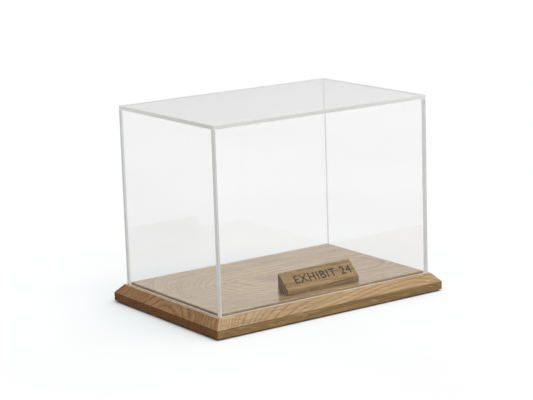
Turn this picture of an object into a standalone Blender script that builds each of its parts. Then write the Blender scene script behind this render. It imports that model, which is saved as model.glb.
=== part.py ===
"""Table-top display plinth: an oak base board with a chamfered edge, an oak name block
screwed to its deck, and a lift-off cover of five cemented clear acrylic panels.

Metres, +Z up. X runs along the long side, the front faces -Y, and the origin is the
centre of the footprint on the surface that the four pads stand on.
"""

import math

import bmesh
import bpy
from mathutils import Matrix, Vector

MM = 0.001

# Driving dimensions.
GAP = 0.3 * MM  # clearance between pieces that rest on each other
BOND = 0.1 * MM  # cement line between two acrylic panels

PAD_DIAMETER = 16 * MM
PAD_THICKNESS = 1.5 * MM
PAD_INSET = 24 * MM  # pad centre from the board's edges

BOARD_LENGTH = 308 * MM
BOARD_WIDTH = 212 * MM
EDGE_HEIGHT = 9.4 * MM  # upright part of the board's edge
CHAMFER_HEIGHT = 9.4 * MM
CHAMFER_WIDTH = 8.6 * MM
DECK_RISE = 3.2 * MM  # deck above the ledge that the cover stands on
ARRIS = 0.9 * MM  # softened edges of the board

SHEET = 4 * MM  # acrylic sheet thickness
COVER_LENGTH = 285 * MM
COVER_WIDTH = 190 * MM
COVER_HEIGHT = 205 * MM
DECK_CLEARANCE = 0.5 * MM  # deck to the inside of the cover, on each side
SHEET_ARRIS = 0.35 * MM
CORNER_ARRIS = 0.8 * MM  # outer edges of the finished cover, rubbed down by hand

BLOCK_LENGTH = 98 * MM
BLOCK_DEPTH = 18.5 * MM
BLOCK_HEIGHT = 22 * MM
BLOCK_TOE = 5.5 * MM  # upright front below the sloping face
BLOCK_TOP = 1.2 * MM  # flat left along the top edge
BLOCK_CENTRE_X = 5 * MM
BLOCK_FRONT_Y = -79 * MM
BLOCK_ARRIS = 0.5 * MM

SCREW_LENGTH = 30 * MM
SCREW_RADIUS = 1.7 * MM
SCREW_HEAD_RADIUS = 3.5 * MM
SCREW_HEAD_DEPTH = 2.4 * MM  # cone of the countersunk head
SCREW_TIP = 4 * MM
SCREW_SUNK = 0.5 * MM  # head below the board's underside
SCREW_SPACING = 60 * MM
RECESS_LENGTH = 3.6 * MM  # cross recess in the screw's head
RECESS_WIDTH = 0.9 * MM
RECESS_DEPTH = 1.5 * MM
ROUND_SIDES = 32

# Levels worked out from them.
BOARD_BOTTOM = PAD_THICKNESS + GAP
LEDGE_Z = BOARD_BOTTOM + EDGE_HEIGHT + CHAMFER_HEIGHT
DECK_Z = LEDGE_Z + DECK_RISE
COVER_BOTTOM = LEDGE_Z + GAP
COVER_TOP = COVER_BOTTOM + COVER_HEIGHT
WALL_TOP = COVER_TOP - SHEET - BOND
DECK_LENGTH = COVER_LENGTH - 2 * (SHEET + DECK_CLEARANCE)
DECK_WIDTH = COVER_WIDTH - 2 * (SHEET + DECK_CLEARANCE)
BLOCK_CENTRE_Y = BLOCK_FRONT_Y + BLOCK_DEPTH / 2
SCREW_Y = BLOCK_FRONT_Y + BLOCK_DEPTH * 0.58  # under the thick part of the wedge
SCREW_XS = {
    "left": BLOCK_CENTRE_X - SCREW_SPACING / 2,
    "right": BLOCK_CENTRE_X + SCREW_SPACING / 2,
}

OAK = (0.50, 0.31, 0.14)
OAK_DARK = (0.36, 0.20, 0.08)
ACRYLIC = (0.90, 0.93, 0.94)
ZINC = (0.62, 0.60, 0.55)
FELT = (0.09, 0.06, 0.04)


def material(name, colour, roughness, metallic=0.0, transmission=0.0):
    """A Principled material with one colour and finish."""
    made = bpy.data.materials.new(name)
    made.use_nodes = True
    shader = made.node_tree.nodes["Principled BSDF"]
    shader.inputs["Base Color"].default_value = (*colour, 1.0)
    shader.inputs["Roughness"].default_value = roughness
    shader.inputs["Metallic"].default_value = metallic
    shader.inputs["Transmission Weight"].default_value = transmission
    return made


def add_object(name, bm, finish, place=(0, 0, 0)):
    """A mesh object named for its piece, at its place, from a bmesh in its own frame."""
    bmesh.ops.recalc_face_normals(bm, faces=bm.faces)
    mesh = bpy.data.meshes.new(name)
    bm.to_mesh(mesh)
    bm.free()
    mesh.materials.append(finish)
    piece = bpy.data.objects.new(name, mesh)
    piece.location = place
    bpy.context.scene.collection.objects.link(piece)
    return piece


def smooth_round(piece, angle=math.radians(35)):
    """Shade a turned piece smooth, with its real edges kept sharp."""
    piece.data.shade_smooth()
    piece.data.set_sharp_from_angle(angle=angle)


def box_mesh(size):
    """A box about the origin."""
    bm = bmesh.new()
    bmesh.ops.create_cube(bm, size=1.0, matrix=Matrix.Diagonal((*size, 1.0)))
    return bm


def soften(bm, edges, width, segments=2):
    """Round the given edges over. A bevel needs the faces to point outwards."""
    bmesh.ops.recalc_face_normals(bm, faces=bm.faces)
    bmesh.ops.bevel(
        bm, geom=list(edges), offset=width, segments=segments, profile=0.5, affect="EDGES"
    )


def turned(profile, sides=ROUND_SIDES):
    """A closed solid turned about Z from (radius, z) points that start and end on the axis."""
    bm = bmesh.new()
    points = [bm.verts.new((radius, 0, z)) for radius, z in profile]
    line = [bm.edges.new(pair) for pair in zip(points, points[1:])]
    bmesh.ops.spin(
        bm, geom=points + line, cent=(0, 0, 0), axis=(0, 0, 1), angle=math.tau, steps=sides
    )
    bmesh.ops.remove_doubles(bm, verts=bm.verts, dist=1e-7)
    bmesh.ops.dissolve_degenerate(bm, edges=bm.edges, dist=1e-7)
    return bm


def cut(piece, cutter):
    """Cut one piece by another, which stays in the file as a hidden guide."""
    cutter.hide_render = True
    cutter.display_type = "WIRE"
    change = piece.modifiers.new(cutter.name, "BOOLEAN")
    change.operation = "DIFFERENCE"
    change.object = cutter


def make_board(finish):
    """The board: upright edge, chamfer, ledge, and the deck left standing inside it."""
    edge = (BOARD_LENGTH / 2, BOARD_WIDTH / 2)
    lip = (edge[0] - CHAMFER_WIDTH, edge[1] - CHAMFER_WIDTH)
    deck = (DECK_LENGTH / 2, DECK_WIDTH / 2)
    levels = [  # half size, height, and whether the ring's edges are softened
        (edge, BOARD_BOTTOM, True),
        (edge, BOARD_BOTTOM + EDGE_HEIGHT, True),
        (lip, LEDGE_Z, True),
        (deck, LEDGE_Z, False),
        (deck, DECK_Z, True),
    ]
    bm = bmesh.new()
    rings = []
    for (x, y), z, _soft in levels:
        corners = [bm.verts.new(p) for p in ((-x, -y, z), (x, -y, z), (x, y, z), (-x, y, z))]
        rings.append([bm.edges.new(pair) for pair in zip(corners, corners[1:] + corners[:1])])
    bm.faces.new([e.verts[0] for e in rings[0]])
    bm.faces.new([e.verts[0] for e in rings[-1]])
    for lower, upper in zip(rings, rings[1:]):
        bmesh.ops.bridge_loops(bm, edges=lower + upper)
    round_over = [e for ring, (_, _, soft) in zip(rings, levels) if soft for e in ring]
    on_ring = {e for ring in rings for e in ring}
    round_over += [  # the corners that run from ring to ring, but not across the ledge
        e for e in bm.edges if e not in on_ring and abs(e.verts[0].co.z - e.verts[1].co.z) > GAP
    ]
    soften(bm, round_over, ARRIS)
    return add_object("base_board", bm, finish)


def make_block(finish):
    """The name block: a wedge with an upright back, a sloping face and a short toe."""
    front, back = -BLOCK_DEPTH / 2, BLOCK_DEPTH / 2
    outline = [
        (front, 0), (back, 0), (back, BLOCK_HEIGHT), (back - BLOCK_TOP, BLOCK_HEIGHT),
        (front, BLOCK_TOE),
    ]
    bm = bmesh.new()
    ends = [
        [bm.verts.new((x, y, z)) for y, z in outline] for x in (-BLOCK_LENGTH / 2, BLOCK_LENGTH / 2)
    ]
    for end in ends:
        bm.faces.new(end)
    loops = [e for e in bm.edges]
    bmesh.ops.bridge_loops(bm, edges=loops)
    soften(bm, bm.edges[:], BLOCK_ARRIS)
    place = (BLOCK_CENTRE_X, BLOCK_CENTRE_Y, DECK_Z + GAP)
    return add_object("name_block", bm, finish, place)


def screw_profile(grow=0.0):
    """The screw's outline from the axis under its head to its tip, as (radius, height)."""
    head = SCREW_HEAD_RADIUS + grow
    shank = SCREW_RADIUS + grow
    return [
        (0, 0), (head, 0), (head, 0.4 * MM), (shank, SCREW_HEAD_DEPTH),
        (shank, SCREW_LENGTH - SCREW_TIP), (0, SCREW_LENGTH + grow),
    ]


def make_screw(side, finish):
    """A countersunk wood screw, head down, with a cross recess."""
    place = (SCREW_XS[side], SCREW_Y, BOARD_BOTTOM + SCREW_SUNK)
    screw = add_object(f"block_screw_{side}", turned(screw_profile()), finish, place)
    smooth_round(screw)
    for turn in range(2):
        bar = box_mesh((RECESS_LENGTH, RECESS_WIDTH, RECESS_DEPTH * 2))
        bmesh.ops.rotate(bar, verts=bar.verts, matrix=Matrix.Rotation(turn * math.pi / 2, 3, "Z"))
        cut(screw, add_object(f"recess_cutter_{side}_{turn}", bar, finish, place))
    return screw


def make_screw_holes(board, block, finish):
    """Countersunk holes up through the board and pilot holes in the block."""
    for side, x in SCREW_XS.items():
        hole = screw_profile(GAP)
        hole[0:2] = [(0, -2 * SCREW_SUNK), (hole[1][0], -2 * SCREW_SUNK)]
        place = (x, SCREW_Y, BOARD_BOTTOM + SCREW_SUNK)
        for piece in (board, block):
            cutter = add_object(f"hole_cutter_{side}_{piece.name}", turned(hole), finish, place)
            cut(piece, cutter)


def make_pad(name, x, y, finish):
    """A round self-adhesive pad under one corner of the board."""
    edge = 0.4 * MM
    radius = PAD_DIAMETER / 2
    profile = [
        (0, 0), (radius - edge, 0), (radius, edge), (radius, PAD_THICKNESS), (0, PAD_THICKNESS),
    ]
    pad = add_object(name, turned(profile), finish, (x, y, 0))
    smooth_round(pad)
    return pad


def make_panel(name, size, place, outer, finish):
    """An acrylic panel with rubbed edges. outer tells which edges are the cover's own corners."""
    bm = box_mesh(size)

    def is_corner(edge):
        middle = (edge.verts[0].co + edge.verts[1].co) / 2
        return outer(Vector(place) + middle)

    soften(bm, [e for e in bm.edges if not is_corner(e)], SHEET_ARRIS, segments=1)
    corner = [e for e in bm.edges if is_corner(e)]
    if corner:
        soften(bm, corner, CORNER_ARRIS, segments=3)
    return add_object(name, bm, finish, place)


def on_outer_corner(point):
    """True on the cover's upright outer corners and its top outer edges."""
    near = 1e-5
    on_x = abs(abs(point.x) - COVER_LENGTH / 2) < near
    on_y = abs(abs(point.y) - COVER_WIDTH / 2) < near
    on_top = abs(point.z - COVER_TOP) < near
    return on_x + on_y + on_top >= 2


def make_cover(finish):
    """Front and back walls run full length, the ends fit between them, the top lies over all."""
    wall_height = WALL_TOP - COVER_BOTTOM
    wall_z = COVER_BOTTOM + wall_height / 2
    wall_y = (COVER_WIDTH - SHEET) / 2
    end_x = (COVER_LENGTH - SHEET) / 2
    long_wall = (COVER_LENGTH, SHEET, wall_height)
    end_wall = (SHEET, COVER_WIDTH - 2 * (SHEET + BOND), wall_height)
    lid = (COVER_LENGTH, COVER_WIDTH, SHEET)
    panels = [
        ("cover_front_panel", long_wall, (0, -wall_y, wall_z)),
        ("cover_back_panel", long_wall, (0, wall_y, wall_z)),
        ("cover_left_panel", end_wall, (-end_x, 0, wall_z)),
        ("cover_right_panel", end_wall, (end_x, 0, wall_z)),
        ("cover_top_panel", lid, (0, 0, COVER_TOP - SHEET / 2)),
    ]
    for name, size, place in panels:
        make_panel(name, size, place, on_outer_corner, finish(name))


def build():
    for piece in list(bpy.data.objects):
        bpy.data.objects.remove(piece, do_unlink=True)

    board = make_board(material("board_oak", OAK, 0.42))
    block = make_block(material("block_oak", OAK_DARK, 0.45))
    steel = material("screw_zinc", ZINC, 0.35, metallic=1.0)
    make_screw_holes(board, block, steel)
    for side in SCREW_XS:
        make_screw(side, material(f"screw_{side}_zinc", ZINC, 0.35, metallic=1.0))
    pad_x = BOARD_LENGTH / 2 - PAD_INSET
    pad_y = BOARD_WIDTH / 2 - PAD_INSET
    for row, y in (("front", -pad_y), ("back", pad_y)):
        for side, x in (("left", -pad_x), ("right", pad_x)):
            name = f"pad_{row}_{side}"
            make_pad(name, x, y, material(f"{name}_felt", FELT, 0.95))
    make_cover(lambda name: material(f"{name}_acrylic", ACRYLIC, 0.05, transmission=0.9))


build()
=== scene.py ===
# %% [markdown]
# # A table-top display plinth
#
# This lesson dresses a display plinth for a small model: an oak base board with a chamfered
# edge, an engraved oak name block standing on its deck, and a clear acrylic cover that lifts
# off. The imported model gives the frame: where every piece is, how large, and what moves. Here
# each piece gets its final surface and finish. Everything is in metres, with Z up, the long
# side along X, and the front facing -Y.

# %% Load the frame and keep its box
import math

import bmesh
import bpy
import numpy as np
from mathutils import Matrix, Vector


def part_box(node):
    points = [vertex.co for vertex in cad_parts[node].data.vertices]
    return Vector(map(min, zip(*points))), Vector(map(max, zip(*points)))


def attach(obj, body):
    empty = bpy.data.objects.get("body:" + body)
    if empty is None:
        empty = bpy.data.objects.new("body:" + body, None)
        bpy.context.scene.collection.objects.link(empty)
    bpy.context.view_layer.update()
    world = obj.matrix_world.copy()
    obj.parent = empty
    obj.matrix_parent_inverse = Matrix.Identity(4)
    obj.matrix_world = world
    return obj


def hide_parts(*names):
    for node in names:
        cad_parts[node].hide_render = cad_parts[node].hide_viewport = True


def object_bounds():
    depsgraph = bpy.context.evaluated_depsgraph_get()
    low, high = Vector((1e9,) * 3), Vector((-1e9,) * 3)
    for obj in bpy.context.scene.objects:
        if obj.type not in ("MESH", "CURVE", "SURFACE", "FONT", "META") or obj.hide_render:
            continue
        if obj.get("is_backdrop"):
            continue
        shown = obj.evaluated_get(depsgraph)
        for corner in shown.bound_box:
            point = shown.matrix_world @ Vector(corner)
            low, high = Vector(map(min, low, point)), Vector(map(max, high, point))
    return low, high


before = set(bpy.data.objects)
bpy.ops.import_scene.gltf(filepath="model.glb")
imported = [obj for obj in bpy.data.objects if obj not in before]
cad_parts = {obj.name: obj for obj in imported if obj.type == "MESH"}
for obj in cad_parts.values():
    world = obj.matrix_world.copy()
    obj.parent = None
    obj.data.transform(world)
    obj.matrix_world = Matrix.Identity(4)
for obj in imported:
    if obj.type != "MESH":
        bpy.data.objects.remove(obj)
cad_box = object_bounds()
MM = 0.001


def node_box(name):
    """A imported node's lowest and highest corner as arrays."""
    return (np.array(corner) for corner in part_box(name))


for name in sorted(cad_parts):
    low, high = node_box(name)
    print(f"{name}: {np.round((high - low) / MM, 1)} mm")

# %% [markdown]
# ## The camera
#
# A product picture of a case is taken from a little above, so that the deck inside can be
# read, and from one corner, so that two walls and the lid show. A long lens keeps the uprights
# nearly parallel. The camera stands on a sphere round the point it looks at, and is rolled by
# a couple of degrees, as a tripod that was never quite levelled gives it.

# %% Place the camera
AIM = np.array([-6.5, 8.4, 111.7]) * MM
DISTANCE = 2043.6 * MM
AZIMUTH = math.radians(34.9)  # how far the camera stands round to the left of the front
ELEVATION = math.radians(12.04)
ROLL = math.radians(-1.83)
FOCAL = 122.2  # millimetres, on a sensor 36 mm wide

forward = np.array([
    math.sin(AZIMUTH) * math.cos(ELEVATION),
    math.cos(AZIMUTH) * math.cos(ELEVATION),
    -math.sin(ELEVATION),
])
level = np.cross(forward, (0, 0, 1))
level /= np.linalg.norm(level)
right = math.cos(ROLL) * level + math.sin(ROLL) * np.cross(level, forward)
place = np.eye(4)
place[:3, :3] = np.array([right, np.cross(right, forward), -forward]).T
place[:3, 3] = AIM - forward * DISTANCE

lens = bpy.data.cameras.new("camera")
lens.sensor_width = 36.0
lens.lens = FOCAL
camera = bpy.data.objects.new("camera", lens)
camera.matrix_world = Matrix(place.tolist())
bpy.context.scene.collection.objects.link(camera)
bpy.context.scene.camera = camera
print("camera at", np.round(place[:3, 3], 3), "m")

# %% [markdown]
# ## Colour and node helpers
#
# Colours are written as sRGB hex, the way a colour picker gives them. Blender calculates in
# linear light, so one function turns them over. Another adds a shader node with its settings
# and its inputs, each of which is either a plain value or another node's output.


# %% Helpers for materials
def linear(hex_colour):
    """sRGB hex to linear RGBA: c / 12.92 up to 0.04045, else ((c + 0.055) / 1.055) ** 2.4."""
    parts = np.array([int(hex_colour[i:i + 2], 16) for i in (1, 3, 5)]) / 255
    low, high = parts / 12.92, ((parts + 0.055) / 1.055) ** 2.4
    return (*np.where(parts <= 0.04045, low, high).tolist(), 1.0)


def add(tree, kind, inputs=None, stops=None, **settings):
    """One shader node. An input takes a value or a socket, and stops fill a colour ramp."""
    made = tree.nodes.new("ShaderNode" + kind)
    for field, value in settings.items():
        setattr(made, field, value)
    for key, value in (inputs or {}).items():
        if isinstance(value, bpy.types.NodeSocket):
            tree.links.new(value, made.inputs[key])
        else:
            made.inputs[key].default_value = value
    if stops:
        elements = made.color_ramp.elements
        while len(elements) < len(stops):
            elements.new(0.5)
        for element, (position, colour) in zip(elements, stops):
            element.position = position
            element.color = linear(colour)
    return made


def new_material(name):
    """An empty node material, its tree, and the object-space point that patterns start from."""
    made = bpy.data.materials.new(name)
    made.use_nodes = True
    made.node_tree.nodes.clear()
    return made, made.node_tree, add(made.node_tree, "TexCoord").outputs["Object"]


def grain_noise(tree, point, size, **inputs):
    """Noise stretched along X: size = (along the grain, across it), in metres."""
    scale = (1 / size[0], 1 / size[1], 1 / size[1])
    stretched = add(tree, "Mapping", {"Vector": point, "Scale": scale}).outputs[0]
    return add(tree, "TexNoise", {"Vector": stretched, "Scale": 1.0, **inputs})


print("the mid grey #808080 is", round(linear("#808080")[0], 3), "in linear light")

# %% [markdown]
# ## Oak, planed and lacquered
#
# A board is a slice of a trunk, so its figure is a solid pattern and not a picture wrapped
# round it. Growth rings are cylinders about the pith, the trunk's centre line. A face that
# runs along them shows long lines, and one that cuts across them, at the board's ends, shows
# arcs. So the material works out how far each point lies from the pith, and the faces cut
# that pattern by themselves.
#
# No trunk is a true cylinder. Its rings sway a little, and here they have a belly, from which
# they sink away towards both ends. That bends the deck's long lines round into nested arcs.


# %% Count the years outwards from the pith
WANDER = 8 * MM  # the rings sway within a band this wide
SWAY = (170 * MM, 60 * MM)  # how long and how wide one sway is
BELLY = 30 * MM  # where along X the trunk is thickest
SINK = 76 * MM  # the rings have sunk by 1 mm this far from there, and by 16 mm twice as far
RING_DRIFT = 1.6  # how unevenly the years follow each other, in rings
DRIFT_REACH = 9 * MM


def trunk_point(tree, point, pith, tilt):
    """The swayed point as seen from the pith line: X runs along it, and Y and Z stand on it."""
    sway = grain_noise(tree, point, SWAY, Detail=1.0).outputs["Color"]
    sway = add(tree, "VectorMath", {0: sway, 1: (0.5, 0.5, 0.5)}, operation="SUBTRACT").outputs[0]
    swayed = add(tree, "VectorMath", {
        0: sway, 1: (0, WANDER, WANDER), 2: point,
    }, operation="MULTIPLY_ADD").outputs[0]
    turned = add(tree, "Mapping", {
        "Vector": swayed, "Rotation": (0, *tilt), "Location": (0, -pith[0], -pith[1]),
    }).outputs[0]
    return add(tree, "SeparateXYZ", {"Vector": turned}).outputs


def ring_radius(tree, apart):
    """The length of (Y, |Z| + 1 mm * ((X - BELLY) / SINK) ** 4)."""
    away = add(tree, "Math", {0: apart["X"], 1: BELLY}, operation="SUBTRACT").outputs[0]
    away = add(tree, "Math", {0: away, 1: SINK}, operation="DIVIDE").outputs[0]
    sunk = add(tree, "Math", {0: away, 1: 4.0}, operation="POWER").outputs[0]
    depth = add(tree, "Math", {0: apart["Z"]}, operation="ABSOLUTE").outputs[0]
    depth = add(tree, "Math", {0: sunk, 1: 1 * MM, 2: depth}, operation="MULTIPLY_ADD").outputs[0]
    across = add(tree, "CombineXYZ", {"Y": apart["Y"], "Z": depth}).outputs[0]
    return add(tree, "VectorMath", {0: across}, operation="LENGTH").outputs["Value"]


def count_years(tree, radius, ring):
    """radius / ring + RING_DRIFT * a slow noise of the radius."""
    drift = add(tree, "TexNoise", {
        "W": radius, "Scale": 1 / DRIFT_REACH,
    }, noise_dimensions="1D").outputs[0]
    years = add(tree, "Math", {0: radius, 1: ring}, operation="DIVIDE").outputs[0]
    years = add(tree, "Math", {0: drift, 1: RING_DRIFT, 2: years}, operation="MULTIPLY_ADD")
    return years.outputs[0]


for share in (1, 1.5, 2):
    print(f"{share * SINK / MM:.0f} mm from the belly a ring has sunk by {share ** 4:.1f} mm")

# %% [markdown]
# ### What one year looks like
#
# Oak is ring-porous: each year starts with a band of open pores, seen as short dark dashes
# along the grain and as dots on the end grain. Groups of lean years are darker. Broad streaks
# and fine fibres run through all of it. Thin rays run outwards from the pith and show light
# on the end grain.

# %% Colour the years, and draw the pores and the rays
STREAK = (160 * MM, 9 * MM)
FIBRE = (70 * MM, 1.1 * MM)
FLECK = (80 * MM, 5 * MM)
LEAN_YEARS = 0.28  # lean years come in groups: this many changes a year
LEAN_TINT = "#E6D2BA"
PORE = (11 * MM, 0.8 * MM)  # drawn about three times too wide, so that they show
PORE_COLOUR = "#4A3018"
PORE_SHOW = 0.42
SUMMER_PORES = 0.25  # how open summer wood is, where spring wood is 1
RAY_TURN = 1.1 * MM  # across a ray, also drawn coarser than its real 0.3 mm
RAY_REACH = 14 * MM
RAY_COLOUR = "#D9BE94"
RAY_SHOW = 0.24


def year_colour(tree, point, years, season, early, late, streak):
    """Spring wood into summer wood, under broad streaks, lean years and fine fibres."""
    rings = add(tree, "ValToRGB", {"Fac": season}, stops=[
        (0.0, late), (0.05, early), (0.14, early), (0.38, late), (1.0, late),
    ]).outputs["Color"]
    broad = grain_noise(tree, point, STREAK, Detail=2.0, Distortion=0.6).outputs[0]
    broad = add(tree, "MapRange", {
        "Value": broad, "From Min": 0.38, "From Max": 0.66, "To Max": 0.4,
    }).outputs[0]
    colour = add(tree, "MixRGB", {
        "Fac": broad, "Color1": rings, "Color2": linear(streak),
    }).outputs[0]
    lean = add(tree, "TexNoise", {
        "W": years, "Scale": LEAN_YEARS, "Detail": 2.0,
    }, noise_dimensions="1D").outputs[0]
    lean = add(tree, "MapRange", {
        "Value": lean, "From Min": 0.62, "From Max": 0.36, "To Max": 0.45,
    }).outputs[0]
    colour = add(tree, "MixRGB", {
        "Fac": lean, "Color1": colour, "Color2": linear(LEAN_TINT),
    }, blend_type="MULTIPLY").outputs[0]
    fibre = grain_noise(tree, point, FIBRE, Detail=3.0).outputs[0]
    fleck = grain_noise(tree, point, FLECK, Detail=2.0).outputs[0]
    fibre = add(tree, "Math", {0: fibre, 1: fleck}, operation="ADD").outputs[0]
    fibre = add(tree, "MapRange", {
        "Value": fibre, "From Min": 0.8, "From Max": 1.2, "To Min": 0.82, "To Max": 1.2,
    }).outputs[0]
    return add(tree, "VectorMath", {0: colour, "Scale": fibre}, operation="SCALE").outputs[0]


def spring_wood(tree, season):
    """1 in a year's first tenth, falling to SUMMER_PORES by its sixth tenth."""
    return add(tree, "MapRange", {
        "Value": season, "From Min": 0.1, "From Max": 0.6, "To Min": 1.0, "To Max": SUMMER_PORES,
    }).outputs[0]


def pore_dashes(tree, point, spring):
    """The peaks of a noise drawn out along the grain, thickest in spring wood."""
    pores = grain_noise(tree, point, PORE, Detail=1.0).outputs[0]
    pores = add(tree, "MapRange", {"Value": pores, "From Min": 0.56, "From Max": 0.68}).outputs[0]
    return add(tree, "Math", {0: pores, 1: spring}, operation="MULTIPLY").outputs[0]


def ray_plates(tree, apart, radius, reach):
    """Thin plates that stand on the pith: the peaks of a noise of X, angle and radius."""
    angle = add(tree, "Math", {0: apart["Y"], 1: apart["Z"]}, operation="ARCTAN2").outputs[0]
    plates = add(tree, "CombineXYZ", {"X": apart["X"], "Y": angle, "Z": radius}).outputs[0]
    plates = add(tree, "Mapping", {
        "Vector": plates, "Scale": (1 / RAY_REACH, reach / RAY_TURN, 1 / RAY_REACH),
    }).outputs[0]
    rays = add(tree, "TexNoise", {"Vector": plates, "Scale": 1.0, "Detail": 0.0}).outputs[0]
    return add(tree, "MapRange", {
        "Value": rays, "From Min": 0.6, "From Max": 0.74, "To Max": RAY_SHOW,
    }).outputs[0]


print("pores are drawn", PORE[1] / MM, "mm wide, and rays", RAY_TURN / MM, "mm")

# %% [markdown]
# ### The lacquer, and the two timbers
#
# The satin lacquer is a thin film that fills most pores. What is left of them are shallow,
# duller dimples, and the hard summer wood stands a trace higher than the spring wood. Ends
# are darker, because open spring wood drinks the lacquer, and dense summer wood takes less.
#
# The board and the block come from different places in a trunk. The board lies far out from
# the pith and has narrow years. The block is an offcut from near the pith, with wide years
# that its small end shows as stripes. It has soaked its lacquer up, so it is duller and has
# no film.

# %% Put the oak together
SATIN = 0.34  # the lacquer's roughness
PORE_DULL = 0.2  # how much rougher a pore is
DIMPLE = 0.06 * MM


def solid_oak(name, pith, tilt, ring, early, late, streak, end, thirst, film, shine):
    """Planed oak about a pith line through (y, z) that leans off X by tilt, with ring a year's width.

    The end grain is multiplied by end: in full in spring wood, and by the share thirst in
    summer wood. film is the weight of the lacquer, and shine the wood's own gloss.
    """
    made, tree, point = new_material(name)
    apart = trunk_point(tree, point, pith, tilt)
    radius = ring_radius(tree, apart)
    years = count_years(tree, radius, ring)
    season = add(tree, "Math", {0: years}, operation="FRACT").outputs[0]
    spring = spring_wood(tree, season)
    colour = year_colour(tree, point, years, season, early, late, streak)

    pores = pore_dashes(tree, point, spring)
    darken = add(tree, "Math", {0: pores, 1: PORE_SHOW}, operation="MULTIPLY").outputs[0]
    colour = add(tree, "MixRGB", {
        "Fac": darken, "Color1": colour, "Color2": linear(PORE_COLOUR),
    }).outputs[0]
    rays = ray_plates(tree, apart, radius, math.hypot(*pith))
    colour = add(tree, "MixRGB", {
        "Fac": rays, "Color1": colour, "Color2": linear(RAY_COLOUR),
    }).outputs[0]

    # End grain is on the faces that look along X.
    facing = add(tree, "TexCoord").outputs["Normal"]
    facing = add(tree, "SeparateXYZ", {"Vector": facing}).outputs["X"]
    facing = add(tree, "Math", {0: facing, 1: facing}, operation="MULTIPLY").outputs[0]
    soaked = add(tree, "MapRange", {
        "Value": spring, "From Min": SUMMER_PORES, "To Min": thirst,
    }).outputs[0]
    soaked = add(tree, "Math", {0: facing, 1: soaked}, operation="MULTIPLY").outputs[0]
    colour = add(tree, "MixRGB", {
        "Fac": soaked, "Color1": colour, "Color2": linear(end),
    }, blend_type="MULTIPLY").outputs[0]

    gloss = add(tree, "MapRange", {
        "Value": pores, "To Min": SATIN, "To Max": SATIN + PORE_DULL,
    }).outputs[0]
    height = add(tree, "Math", {0: pores, 1: -1.0, 2: season}, operation="MULTIPLY_ADD").outputs[0]
    bump = add(tree, "Bump", {"Height": height, "Strength": 0.35, "Distance": DIMPLE}).outputs[0]
    surface = add(tree, "BsdfPrincipled", {
        "Base Color": colour, "Roughness": gloss, "Specular IOR Level": shine,
        "Coat Weight": film, "Coat Roughness": 0.2, "Normal": bump,
    })
    add(tree, "OutputMaterial", {"Surface": surface.outputs[0]})
    return made


board_oak = solid_oak(
    "plain-sawn oak, satin lacquer", pith=(-4 * MM, -180 * MM), tilt=(0.03, 0.08), ring=2.0 * MM,
    early="#8A683F", late="#A5885A", streak="#886A3A", end="#EAA858", thirst=0.6,
    film=0.5, shine=0.45,
)
block_oak = solid_oak(
    "oak offcut, satin lacquer", pith=(-142 * MM, 69 * MM), tilt=(0.02, 0.04), ring=3.6 * MM,
    early="#80602F", late="#967648", streak="#82633A", end="#5E3A22", thirst=0.0,
    film=0.0, shine=0.2,
)
for oak in (board_oak, block_oak):
    print(f"{oak.name}: {len(oak.node_tree.nodes)} nodes")

# %% [markdown]
# ## Cast acrylic
#
# The cover is cut from 4 mm cast sheet, polymethyl methacrylate, which bends light a little
# less than window glass. Its faces are as clear as the casting left them. Its cut edges are
# sanded, and there light that has travelled along inside the sheet comes out, so they read as
# pale bars. That is why the faces and the edges are two materials, and why the edges have some
# frost: a share of translucent light that scatters in the sanded skin.
#
# Light from a lamp passes straight through a thin clear sheet. Glass shaders only let it
# through by chance, as a caustic, which is slow and grainy. So for rays that ask whether a
# lamp is in sight, and for light scattered by the wood, both materials are simply a clear
# film that takes a little of the light away.

# %% The acrylic materials
ACRYLIC_IOR = 1.49
SURFACE_PASS = "#F6F9FA"  # one surface passes 92% of red, 95% of green and 96% of blue
SWELL = 60 * MM  # the casting's faint waves
SWELL_HEIGHT = 0.3 * MM


def acrylic(name, tint, clear, roughness, ripple, frost):
    """Clear sheet for the eye, and a nearly clear film for lamps and scattered light."""
    made, tree, point = new_material(name)
    swell = add(tree, "TexNoise", {"Vector": point, "Scale": 1 / SWELL, "Detail": 0.0}).outputs[0]
    bump = add(tree, "Bump", {"Height": swell, "Strength": ripple, "Distance": SWELL_HEIGHT})
    sheet = add(tree, "BsdfPrincipled", {
        "Base Color": linear(tint), "Roughness": roughness, "IOR": ACRYLIC_IOR,
        "Transmission Weight": clear, "Normal": bump.outputs[0],
    })
    if frost > 0:
        glow = add(tree, "BsdfTranslucent", {"Color": linear(tint)})
        sheet = add(tree, "MixShader", {0: frost, 1: sheet.outputs[0], 2: glow.outputs[0]})
    film = add(tree, "BsdfTransparent", {"Color": linear(SURFACE_PASS)})
    ray = add(tree, "LightPath").outputs
    simple = add(tree, "Math", {
        0: ray["Is Shadow Ray"], 1: ray["Is Diffuse Ray"],
    }, operation="MAXIMUM").outputs[0]
    both = add(tree, "MixShader", {0: simple, 1: sheet.outputs[0], 2: film.outputs[0]})
    add(tree, "OutputMaterial", {"Surface": both.outputs[0]})
    return made


acrylic_face = acrylic(
    "cast acrylic face", "#FCFCFC", clear=1.0, roughness=0.0, ripple=0.02, frost=0.0,
)
acrylic_edge = acrylic(
    "cast acrylic, sanded edge", "#F8F6F3", clear=0.25, roughness=0.4, ripple=0.0, frost=0.4,
)
mirrored = ((ACRYLIC_IOR - 1) / (ACRYLIC_IOR + 1)) ** 2
print(f"one surface mirrors {mirrored:.1%} of the light that meets it square on")

# %% [markdown]
# ## Small finishes
#
# The lettering is burnt into the block, so its floor is a dull dark brown that varies with
# the grain. The screws are steel, plated with zinc that has a warm tinge. The pads are wool
# felt, which scatters light from a mat of fibres and looks paler at a glancing angle.


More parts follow.
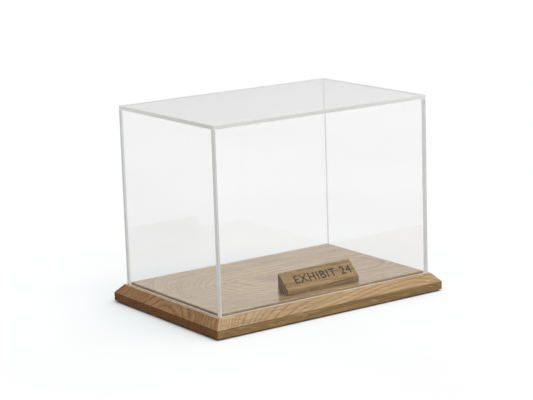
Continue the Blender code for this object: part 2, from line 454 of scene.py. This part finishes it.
# %% Burnt oak, zinc and felt
CHAR = (6 * MM, 0.6 * MM)
CHAR_DEPTH = 0.1 * MM
ZINC_CLOUD = 1.5 * MM
FELT_FIBRE = 0.5 * MM  # some twenty times a real fibre, so that the felt's nap shows
FELT_NAP = 0.2 * MM


def burnt_oak():
    """Charred wood: nearly black brown, matt, uneven along the grain."""
    made, tree, point = new_material("burnt oak")
    char = grain_noise(tree, point, CHAR, Detail=2.0).outputs[0]
    colour = add(tree, "ValToRGB", {"Fac": char}, stops=[(0.3, "#20150D"), (0.7, "#3B2A1D")])
    bump = add(tree, "Bump", {"Height": char, "Strength": 0.5, "Distance": CHAR_DEPTH})
    surface = add(tree, "BsdfPrincipled", {
        "Base Color": colour.outputs[0], "Roughness": 0.95, "Specular IOR Level": 0.2,
        "Normal": bump.outputs[0],
    })
    add(tree, "OutputMaterial", {"Surface": surface.outputs[0]})
    return made


def zinc_plate():
    """Zinc-plated steel: a metal with a faint warm cloud in its plating."""
    made, tree, point = new_material("zinc-plated steel")
    cloud = add(tree, "TexNoise", {"Vector": point, "Scale": 1 / ZINC_CLOUD, "Detail": 3.0}).outputs[0]
    colour = add(tree, "ValToRGB", {"Fac": cloud}, stops=[(0.3, "#B9B4A6"), (0.7, "#D3D0C8")])
    gloss = add(tree, "MapRange", {"Value": cloud, "To Min": 0.25, "To Max": 0.45}).outputs[0]
    surface = add(tree, "BsdfPrincipled", {
        "Base Color": colour.outputs[0], "Metallic": 1.0, "Roughness": gloss,
    })
    add(tree, "OutputMaterial", {"Surface": surface.outputs[0]})
    return made


def wool_felt():
    """Dark brown felt: fibres as a fine noise, with the soft sheen of wool."""
    made, tree, point = new_material("wool felt")
    fibres = add(tree, "TexNoise", {
        "Vector": point, "Scale": 1 / FELT_FIBRE, "Detail": 4.0, "Distortion": 1.5,
    }).outputs[0]
    colour = add(tree, "ValToRGB", {"Fac": fibres}, stops=[(0.3, "#2B211A"), (0.7, "#4C3D31")])
    bump = add(tree, "Bump", {"Height": fibres, "Strength": 0.8, "Distance": FELT_NAP})
    surface = add(tree, "BsdfPrincipled", {
        "Base Color": colour.outputs[0], "Roughness": 0.95, "Sheen Weight": 0.4,
        "Sheen Roughness": 0.5, "Normal": bump.outputs[0],
    })
    add(tree, "OutputMaterial", {"Surface": surface.outputs[0]})
    return made


burnt = burnt_oak()
zinc = zinc_plate()
felt = wool_felt()
print("materials:", ", ".join(made.name for made in bpy.data.materials))

# %% [markdown]
# ## Surfaces from grids
#
# Every new piece starts as a grid of points: rows of rings, worked out as whole arrays. Each
# ring is joined to the next by four-sided faces, and the first and last rings are closed with
# one flat face each. The signed volume of the result tells whether its faces point outwards,
# because it is negative on a shape that is inside out.


# %% Helpers for meshes
SAME_PLACE = 0.002 * MM  # points nearer than this are one


def skin(name, rings, materials):
    """A closed mesh from rings (R, N, 3). Volume is the sum of a . (b x c) / 6 over its faces."""
    count, around = rings.shape[:2]
    index = np.arange(count * around).reshape(count, around)
    following = np.roll(index, -1, axis=1)
    quads = np.stack([index[:-1], following[:-1], following[1:], index[1:]], axis=-1)
    quads = quads.reshape(-1, 4)
    faces = [*quads.tolist(), index[0, ::-1].tolist(), index[-1].tolist()]
    points = rings.reshape(-1, 3)
    a, b, c, d = (points[quads[:, k]] for k in range(4))
    volume = (a * (np.cross(b, c) + np.cross(c, d))).sum()
    for cap in (rings[0, ::-1], rings[-1]):
        fan = np.cross(cap[1:-1] - cap[0], cap[2:] - cap[0]).sum(axis=0)
        volume += fan @ cap[0]
    if volume < 0:
        faces = [face[::-1] for face in faces]
    mesh = bpy.data.meshes.new(name)
    mesh.from_pydata(points.tolist(), [], faces)
    weld = bmesh.new()
    weld.from_mesh(mesh)
    bmesh.ops.remove_doubles(weld, verts=weld.verts, dist=SAME_PLACE)
    bmesh.ops.dissolve_degenerate(weld, edges=weld.edges, dist=SAME_PLACE)
    weld.to_mesh(mesh)
    weld.free()
    for finish in materials:
        mesh.materials.append(finish)
    piece = bpy.data.objects.new(name, mesh)
    bpy.context.scene.collection.objects.link(piece)
    print(f"{name}: {len(mesh.polygons)} faces, {abs(volume) / 6 / MM ** 3:.0f} mm3")
    return piece


def rounded(corners, radii, steps=6):
    """A path with its corners rounded. An arc starts radius * tan(turn / 2) before its corner."""
    corners, points = np.array(corners), []
    for k, (corner, radius) in enumerate(zip(corners, radii)):
        if radius == 0 or k in (0, len(corners) - 1):
            points.append(corner)
            continue
        before, after = corners[k - 1] - corner, corners[k + 1] - corner
        before, after = before / np.linalg.norm(before), after / np.linalg.norm(after)
        half_open = math.acos(np.clip(before @ after, -1, 1)) / 2
        middle = (before + after) / np.linalg.norm(before + after)
        centre = corner + middle * radius / math.sin(half_open)
        sweep = math.pi - 2 * half_open
        side = (before - after) / np.linalg.norm(before - after)
        for turn in np.linspace(sweep / 2, -sweep / 2, steps + 1):
            points.append(centre + radius * (-middle * math.cos(turn) + side * math.sin(turn)))
    return np.array(points)


def carve(piece, cutter, crossing=False):
    """Cut the cutter out of the piece and delete it. crossing allows faces that cross each other."""
    change = piece.modifiers.new("cut", "BOOLEAN")
    change.operation = "DIFFERENCE"
    change.object = cutter
    change.use_self = crossing
    bpy.context.view_layer.update()
    result = piece.evaluated_get(bpy.context.evaluated_depsgraph_get())
    mesh = bpy.data.meshes.new_from_object(result)
    piece.modifiers.clear()
    piece.data = mesh
    bpy.data.objects.remove(cutter, do_unlink=True)


def smooth(piece, sharp=35):
    """Smooth shading that keeps flat faces flat: their normals count by area."""
    piece.data.shade_smooth()
    piece.data.set_sharp_from_angle(angle=math.radians(sharp))
    weighted = piece.modifiers.new("weighted normals", "WEIGHTED_NORMAL")
    weighted.keep_sharp = True


def settle(piece, body, nodes):
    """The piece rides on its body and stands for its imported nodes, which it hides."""
    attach(piece, body)
    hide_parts(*nodes)


# %% [markdown]
# ## The base board
#
# The board is planed oak, 22 mm thick. A router with a chamfer bit took off its upper edge
# all round, a rebate cutter sank the ledge that the cover stands on, and sandpaper broke every
# sharp edge. A single profile holds all of that: edge, chamfer, ledge and deck. It is carried
# round a rectangle whose own corners are slightly rounded, which gives true mitred corners.
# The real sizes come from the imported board, so the profile starts from its box.

# %% Build the base board
board_low, board_high = node_box("base_board")
CHAMFER = 8.6 * MM
EDGE_HEIGHT = 9.4 * MM
DECK_RISE = 3.2 * MM
DECK_CLEARANCE = 0.5 * MM  # from the deck to the inside of the cover
BROKEN_EDGE = 0.9 * MM
LAP = 2 * MM  # how far each path runs on inwards, so that a corner at its end can be rounded
CORNER_STEPS = 6


def rectangle_ring(size, z, radius=BROKEN_EDGE):
    """A level rectangle of that half size, with quarter circles of the radius at its corners."""
    quarter = np.linspace(0, np.pi / 2, CORNER_STEPS + 1)
    turns = quarter + np.pi / 2 * np.arange(4)[:, None]
    signs = np.array([[1, 1], [-1, 1], [-1, -1], [1, -1]])[:, None, :]
    arcs = np.stack([np.cos(turns), np.sin(turns)], axis=-1)
    flat = (signs * (np.asarray(size) - radius) + radius * arcs).reshape(-1, 2)
    return np.column_stack([flat, np.full(len(flat), z)])


def base_board():
    """Rings up the profile: (inset, height) outside, then the ledge and the deck's own side."""
    half = (board_high - board_low)[:2] / 2
    (wall_x, _, _), _ = node_box("cover_right_panel")
    (_, wall_y, _), _ = node_box("cover_back_panel")
    deck_half = np.array([wall_x, wall_y]) - DECK_CLEARANCE
    bottom, top = board_low[2], board_high[2]
    ledge = top - DECK_RISE
    edge = [(LAP, bottom), (0, bottom), (0, bottom + EDGE_HEIGHT)]
    chamfer = [(CHAMFER, ledge), (CHAMFER + LAP, ledge)]
    outside = rounded(edge + chamfer, [0, BROKEN_EDGE / 2, BROKEN_EDGE, BROKEN_EDGE, 0])
    deck = rounded([(0, ledge), (0, top), (LAP, top)], [0, BROKEN_EDGE, 0])
    rings = [rectangle_ring(half - inset, z) for inset, z in outside]
    rings += [rectangle_ring(deck_half - inset, z) for inset, z in deck]
    return skin("oak_base_board", np.array(rings), [board_oak])


board = base_board()

# %% [markdown]
# ## Screws and their holes
#
# Two countersunk wood screws come up through the board into the name block. A screw is a
# turned shape with a helix on it, so its surface is a grid of turn and height, where the
# radius gains a thread ridge that climbs one pitch each turn. The thread fades out at the
# head and at the tip. The cross recess in the head is cut with two tapered bars. The board
# gets a plain turned hole round each, wide enough for the head to sink in, and the block gets
# the same hole's upper end when its turn comes.

# %% Build the screws and drill the board
SHANK = 1.7 * MM
HEAD = 3.5 * MM
HEAD_DEPTH = 2.4 * MM
TIP = 4 * MM
POINT = 0.05 * MM  # the tip's own radius
PITCH = 1.8 * MM
THREAD = 0.35 * MM
RIDGE = 0.2  # the thread's half width, in pitches
RUN_OUT = 3 * MM  # the thread grows to its full height over this
RIM = 0.4 * MM  # the head's upright rim
WORN = 0.12 * MM  # and how far its edge is rubbed down
HOLE_GAP = 0.3 * MM
SLOT = (3.6 * MM, 0.9 * MM, 3.0 * MM)  # one bar of the cross recess
SLOT_TAPER = 0.55
ROUND = 48


def circle_rings(radii, heights, centre):
    """Rings of the radii (R, N) or (R,) at their heights, about an upright line."""
    turn = np.linspace(0, 2 * np.pi, ROUND, endpoint=False)
    radii = np.broadcast_to(np.asarray(radii).reshape(len(heights), -1), (len(heights), ROUND))
    x, y = centre[0] + radii * np.cos(turn), centre[1] + radii * np.sin(turn)
    return np.stack([x, y, np.broadcast_to(np.asarray(heights)[:, None], x.shape)], axis=-1)


def recess_bar(spot, quarter):
    """One bar of the cross at the spot: a box that tapers upwards, a quarter turn round or not."""
    bar = bmesh.new()
    bmesh.ops.create_cube(bar, size=1.0)
    for vert in bar.verts:
        taper = 1.0 if vert.co.z < 0 else SLOT_TAPER
        x, y = vert.co.x * SLOT[0] * taper, vert.co.y * SLOT[1] * taper
        if quarter:
            x, y = -y, x
        vert.co = (spot[0] + x, spot[1] + y, spot[2] + vert.co.z * SLOT[2])
    mesh = bpy.data.meshes.new("recess")
    bar.to_mesh(mesh)
    bar.free()
    cutter = bpy.data.objects.new("recess", mesh)
    bpy.context.scene.collection.objects.link(cutter)
    return cutter


def wood_screw(name, node):
    """radius(h, turn) = body(h) + thread * ridge(h / pitch - turn / full turn) * fade(h)."""
    low, high = node_box(node)
    centre, length = (low + high) / 2, high[2] - low[2]
    climb = np.arange(HEAD_DEPTH, length, PITCH / 12)
    height = np.concatenate([[0, WORN, RIM], climb, [length]])
    body = np.interp(
        height, [0, WORN, RIM, HEAD_DEPTH, length - TIP, length],
        [HEAD - WORN, HEAD, HEAD, SHANK - THREAD, SHANK - THREAD, POINT],
    )
    turn = np.linspace(0, 1, ROUND, endpoint=False)
    phase = (height[:, None] / PITCH - turn) % 1
    ridge = np.clip(1 - np.abs(phase - 0.5) / RIDGE, 0, 1)
    ends = [HEAD_DEPTH, HEAD_DEPTH + RUN_OUT, length - TIP, length]
    fade = np.interp(height, ends, [0, 1, 1, 0])
    radii = body[:, None] + THREAD * ridge * fade[:, None]
    screw = skin(name, circle_rings(radii, low[2] + height, centre), [zinc])
    for quarter in (0, 1):
        carve(screw, recess_bar((centre[0], centre[1], low[2]), quarter))
    smooth(screw)
    return screw


def drill(piece, node, finish):
    """Cut a turned hole round the screw, HOLE_GAP wider than its head and its shank."""
    low, high = node_box(node)
    radii = np.array([HEAD, HEAD, SHANK, SHANK]) + HOLE_GAP
    heights = [low[2] - HEAD_DEPTH, low[2] + RIM, low[2] + HEAD_DEPTH, high[2] + HOLE_GAP]
    hole = circle_rings(radii, heights, (low + high) / 2)
    carve(piece, skin(f"hole_for_{node}", hole, [finish]))


SCREWS = ("block_screw_left", "block_screw_right")
for node in SCREWS:
    settle(wood_screw(f"name_{node}", node), "plinth", [node])
    drill(board, node, board_oak)
smooth(board)
settle(board, "plinth", ["base_board"])

# %% [markdown]
# ## The name block
#
# The block is an offcut of the same timber, sawn to a wedge and sanded. Every point of a
# shape with rounded edges is a point of a smaller sharp shape plus the radius in some
# direction, so the wedge is built just like that: an inner outline, moved out by a circle
# along its length and by a quarter ball at its ends.


# %% A prism with rounded edges
def ball_prism(outline, start, end, radius, steps=4):
    """Rings along the first axis: inner corner + radius * (circle in the plane, ball at the ends)."""
    outline = np.asarray(outline, float)
    edge = np.roll(outline, -1, axis=0) - outline
    normal = np.stack([edge[:, 1], -edge[:, 0]], axis=1) / np.linalg.norm(edge, axis=1)[:, None]
    previous = np.roll(normal, 1, axis=0)
    meet = (previous + normal) / (1 + (previous * normal).sum(axis=1))[:, None]
    inner = outline - radius * meet
    first = np.arctan2(previous[:, 1], previous[:, 0])
    swing = (np.arctan2(normal[:, 1], normal[:, 0]) - first) % (2 * np.pi)
    angle = first[:, None] + swing[:, None] * np.linspace(0, 1, steps + 1)
    circle = np.stack([np.cos(angle), np.sin(angle)], axis=-1).reshape(-1, 2)
    inner = np.repeat(inner, steps + 1, axis=0)
    roll = np.linspace(0, np.pi / 2, steps + 1)
    inset = radius * (1 - np.cos(roll))
    along = np.concatenate([start + inset, end - inset[::-1]])
    reach = radius * np.concatenate([np.sin(roll), np.sin(roll[::-1])])
    plane = inner + reach[:, None, None] * circle
    along = np.broadcast_to(along[:, None, None], (*plane.shape[:2], 1))
    return np.concatenate([along, plane], axis=-1)


TOE = 5.5 * MM
TOP_FLAT = 1.2 * MM
BLOCK_EDGE = 0.5 * MM
block_low, block_high = node_box("name_block")
front, back = block_low[1], block_high[1]
bottom, top = block_low[2], block_high[2]
foot, head = (front, bottom + TOE), (back - TOP_FLAT, top)
wedge = [(front, bottom), (back, bottom), (back, top), head, foot]
wedge = ball_prism(wedge, block_low[0], block_high[0], BLOCK_EDGE)
block = skin("oak_name_block", wedge, [block_oak, burnt])
for node in SCREWS:
    drill(block, node, block_oak)

# %% [markdown]
# ### The engraving
#
# The words are engraved half a millimetre deep by a laser, which chars the floor and walls of
# each letter and burns a little past its outline. They are real letters cut out of the wood,
# so they keep their depth from every side, and the faces that the cut leaves take the charred
# finish. The words start as Blender text. It is measured, scaled to the height of its
# capitals and spaced out to its width, made a mesh, and only then laid on the slope.

# %% Engrave the words
WORDS = "EXHIBIT 24"
CAPITAL = 10.0 * MM
WORDS_WIDTH = 76 * MM
SPACING_GAIN = 1.25  # the letters keep their widths, so the gaps take more than their share
WORDS_OFFSET = 5 * MM  # the words stand a little right of the block's middle
ENGRAVED = 0.5 * MM
SPREAD = 0.14 * MM  # the beam burns this much past each outline


def text_box(text):
    """The text's lowest and highest corner, in its own axes."""
    bpy.context.view_layer.update()
    spots = np.array([corner[:] for corner in text.bound_box])
    return spots.min(axis=0), spots.max(axis=0)


def set_words():
    """The words as solid text: CAPITAL high, about WORDS_WIDTH wide, ENGRAVED thick either way."""
    curve = bpy.data.curves.new("words", "FONT")
    curve.body = WORDS
    curve.align_x = "CENTER"
    curve.resolution_u = 5
    text = bpy.data.objects.new("words", curve)
    bpy.context.scene.collection.objects.link(text)
    low, high = text_box(text)
    curve.size = CAPITAL / (high[1] - low[1])
    low, high = text_box(text)
    natural = high[0] - low[0]
    curve.space_character = 1.0 + (WORDS_WIDTH - natural) / natural * SPACING_GAIN
    curve.extrude = ENGRAVED
    return text


def burn_past(mesh):
    """Close the letters' solid and move each point out until its faces have moved by SPREAD."""
    weld = bmesh.new()
    weld.from_mesh(mesh)
    bmesh.ops.remove_doubles(weld, verts=weld.verts, dist=SAME_PLACE / 2)
    bmesh.ops.recalc_face_normals(weld, faces=weld.faces)
    weld.normal_update()
    moves = [vert.normal * vert.calc_shell_factor() * SPREAD for vert in weld.verts]
    for vert, move in zip(weld.verts, moves):
        vert.co += move
    weld.to_mesh(mesh)
    weld.free()


def letters():
    """The words as a cutter. Its middle lies on the middle of the slope from foot to head."""
    text = set_words()
    low, high = text_box(text)
    print("words", round((high[0] - low[0]) / MM, 1), "mm wide")
    up = np.array([0, *(np.array(head) - foot)])
    up /= np.linalg.norm(up)
    out = np.cross((1, 0, 0), up)
    middle = (np.array(foot) + head) / 2
    centre = np.array([(block_low[0] + block_high[0]) / 2 + WORDS_OFFSET, *middle])
    centre -= up * (low[1] + high[1]) / 2 + np.array([(low[0] + high[0]) / 2, 0, 0])
    solid = text.evaluated_get(bpy.context.evaluated_depsgraph_get())
    mesh = bpy.data.meshes.new_from_object(solid)
    bpy.data.objects.remove(text, do_unlink=True)
    spots = np.empty(len(mesh.vertices) * 3)
    mesh.vertices.foreach_get("co", spots)
    spots = spots.reshape(-1, 3) @ np.array([(1, 0, 0), up, out]) + centre
    mesh.vertices.foreach_set("co", spots.ravel())
    burn_past(mesh)
    mesh.materials.clear()
    mesh.materials.append(block_oak)
    mesh.materials.append(burnt)
    mesh.polygons.foreach_set("material_index", np.ones(len(mesh.polygons), dtype=np.int32))
    cutter = bpy.data.objects.new("letters", mesh)
    bpy.context.scene.collection.objects.link(cutter)
    return cutter


carve(block, letters(), crossing=True)
smooth(block)
settle(block, "plinth", ["name_block"])

# %% [markdown]
# ## The pads
#
# Each felt pad is a punched disc with rounded rims, and its cut edge is fuzzy. So the disc is
# a turned grid, whose radius falls short by up to a tenth of a millimetre here and there.

# %% Build the pads
FUZZ = 0.08 * MM
PAD_SHARP = 60  # degrees: only sharper edges than this show as edges


def felt_pad(name, node, seed):
    """radius(k, turn) = full radius * share(k) - a seeded fuzz, at height(k) * thickness."""
    low, high = node_box(node)
    centre, radius, thick = (low + high) / 2, (high[0] - low[0]) / 2, high[2] - low[2]
    share = np.array([0.5, 0.9, 0.97, 1.0, 1.0, 0.97, 0.9, 0.5])
    heights = np.array([0, 0.0, 0.06, 0.25, 0.75, 0.94, 1.0, 1.0]) * thick + low[2]
    fuzz = np.random.default_rng(seed).uniform(-1, 0, (len(share), ROUND)) * FUZZ
    fuzz[[0, -1]] = 0
    pad = skin(name, circle_rings(radius * share[:, None] + fuzz, heights, centre), [felt])
    smooth(pad, PAD_SHARP)
    return pad


for seed, corner in enumerate(("front_left", "front_right", "back_left", "back_right")):
    pad = felt_pad(f"felt_pad_{corner}", f"pad_{corner}", seed)
    settle(pad, "plinth", [f"pad_{corner}"])

# %% [markdown]
# ## The cover
#
# Five panels of 4 mm sheet, bonded with solvent cement: the long walls run full length, the
# end walls fit between them, and the lid lies over all four. Each panel is the same rounded
# prism as the name block, pulled through its thickness, so its two large faces are flat and
# every edge is slightly rubbed down. The large faces are clear, and all the rest is edge.

# %% Build the cover's panels
RUBBED_EDGE = 0.4 * MM


def panel(name, node):
    """A flat sheet with rounded edges, pulled along the thinnest axis of its packed box."""
    low, high = node_box(node)
    thin = int(np.argmin(high - low))
    u, v = (k for k in range(3) if k != thin)
    outline = [(low[u], low[v]), (high[u], low[v]), (high[u], high[v]), (low[u], high[v])]
    rings = ball_prism(outline, low[thin], high[thin], RUBBED_EDGE, steps=3)
    order = np.argsort([thin, u, v])
    sheet = skin(name, rings[..., order], [acrylic_face, acrylic_edge])
    area = np.empty(len(sheet.data.polygons))
    sheet.data.polygons.foreach_get("area", area)
    is_edge = np.ones(len(area), dtype=np.int32)
    is_edge[np.argsort(area)[-2:]] = 0
    sheet.data.polygons.foreach_set("material_index", is_edge)
    smooth(sheet)
    return sheet


for side in ("front", "back", "left", "right", "top"):
    node = f"cover_{side}_panel"
    settle(panel(f"acrylic_{side}_panel", node), "cover", [node])

# %% [markdown]
# ## The floor
#
# A clear cover shows mostly what surrounds it, so floor and room matter more than usual. Its
# five sheets mirror them and lay them over the wood as haze. A photographer keeps that down
# with grey cards just outside the view. Here the floor does it by itself: it is pale paper to
# the camera, also through the cover, and grey to the light that the wood scatters and that
# the sheets and the lacquer mirror.

# %% Lay the floor
FLOOR = 8.0  # from its middle to its sides
PAPER = ("#E4E4E4", "#E8E8E8")
MOTTLE = 250 * MM
SCATTERED = "#8C8A88"
MIRRORED = "#5C5A58"


def seen_straight(tree):
    """1 for a ray from the camera, also one that has passed through the cover, else 0."""
    ray = add(tree, "LightPath").outputs
    return add(tree, "Math", {
        0: ray["Is Camera Ray"], 1: ray["Is Transmission Ray"],
    }, operation="MAXIMUM").outputs[0]


def background_paper():
    """Matt paper, faintly mottled, with a grey look for scattered and mirrored rays."""
    made, tree, point = new_material("background paper")
    mottle = add(tree, "TexNoise", {"Vector": point, "Scale": 1 / MOTTLE, "Detail": 2.0}).outputs[0]
    pale = add(tree, "ValToRGB", {"Fac": mottle}, stops=[(0.3, PAPER[0]), (0.7, PAPER[1])])
    pale = add(tree, "BsdfDiffuse", {"Color": pale.outputs[0]})
    grey = add(tree, "MixRGB", {
        "Fac": add(tree, "LightPath").outputs["Is Glossy Ray"],
        "Color1": linear(SCATTERED), "Color2": linear(MIRRORED),
    })
    grey = add(tree, "BsdfDiffuse", {"Color": grey.outputs[0]})
    both = add(tree, "MixShader", {0: seen_straight(tree), 1: grey.outputs[0], 2: pale.outputs[0]})
    add(tree, "OutputMaterial", {"Surface": both.outputs[0]})
    return made


paper = bpy.data.meshes.new("floor")
corners = [(-FLOOR, -FLOOR, 0), (FLOOR, -FLOOR, 0), (FLOOR, FLOOR, 0), (-FLOOR, FLOOR, 0)]
paper.from_pydata(corners, [], [(0, 1, 2, 3)])
paper.materials.append(background_paper())
floor = bpy.data.objects.new("floor", paper)
bpy.context.scene.collection.objects.link(floor)
floor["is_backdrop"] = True
print("floor:", 2 * FLOOR, "m square")

# %% [markdown]
# ## The light
#
# The key light is a sun, made as wide as a big soft box close by, so its shadows are soft. It
# stands above and a little to the front. The room gives the rest. It is white to the camera.
# To all other rays it is bright above and to the right of the front, and dim on the far side,
# which leaves the left end of the board in shade.

# %% Light the room
KEY = (0.1, -0.3, 0.95)  # towards the key light
KEY_STRENGTH = 1.45
KEY_WIDTH = math.radians(36)
ROOM_SIDE = (0.62, -0.55, 0.56)  # towards the bright side of the room
ROOM_SPAN = (-0.6, 0.8)  # cosines to that side where the room starts and stops to brighten
ROOM_LEVELS = (0.25, 1.1)


def studio_room():
    """Strength = ROOM_LEVELS by the smoothstep of a direction's cosine over ROOM_SPAN."""
    room = bpy.data.worlds.new("studio")
    room.use_nodes = True
    tree = room.node_tree
    tree.nodes.clear()
    cosine = add(tree, "VectorMath", {
        0: add(tree, "TexCoord").outputs["Generated"], 1: ROOM_SIDE,
    }, operation="DOT_PRODUCT").outputs["Value"]
    glow = add(tree, "MapRange", {
        "Value": cosine, "From Min": ROOM_SPAN[0], "From Max": ROOM_SPAN[1],
        "To Min": ROOM_LEVELS[0], "To Max": ROOM_LEVELS[1],
    }, interpolation_type="SMOOTHSTEP").outputs[0]
    strength = add(tree, "Mix", {"Factor": seen_straight(tree), "A": glow, "B": 1.0}).outputs[0]
    light = add(tree, "Background", {"Color": linear("#FFFFFF"), "Strength": strength})
    add(tree, "OutputWorld", {"Surface": light.outputs[0]})
    bpy.context.scene.world = room


studio_room()
sun = bpy.data.lights.new("key", "SUN")
sun.energy = KEY_STRENGTH
sun.angle = KEY_WIDTH
lamp = bpy.data.objects.new("key", sun)
lamp.rotation_mode = "QUATERNION"
lamp.rotation_quaternion = Vector(KEY).to_track_quat("Z", "Y")
bpy.context.scene.collection.objects.link(lamp)
print("key light", round(math.degrees(math.asin(Vector(KEY).normalized().z))), "degrees up")

# %% Settle the view and finish
bpy.context.scene.view_settings.view_transform = "Standard"
boxes = {"cad": cad_box, "visual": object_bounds()}
boxes = {key: np.array(box).tolist() for key, box in boxes.items()}
print("boxes", boxes)
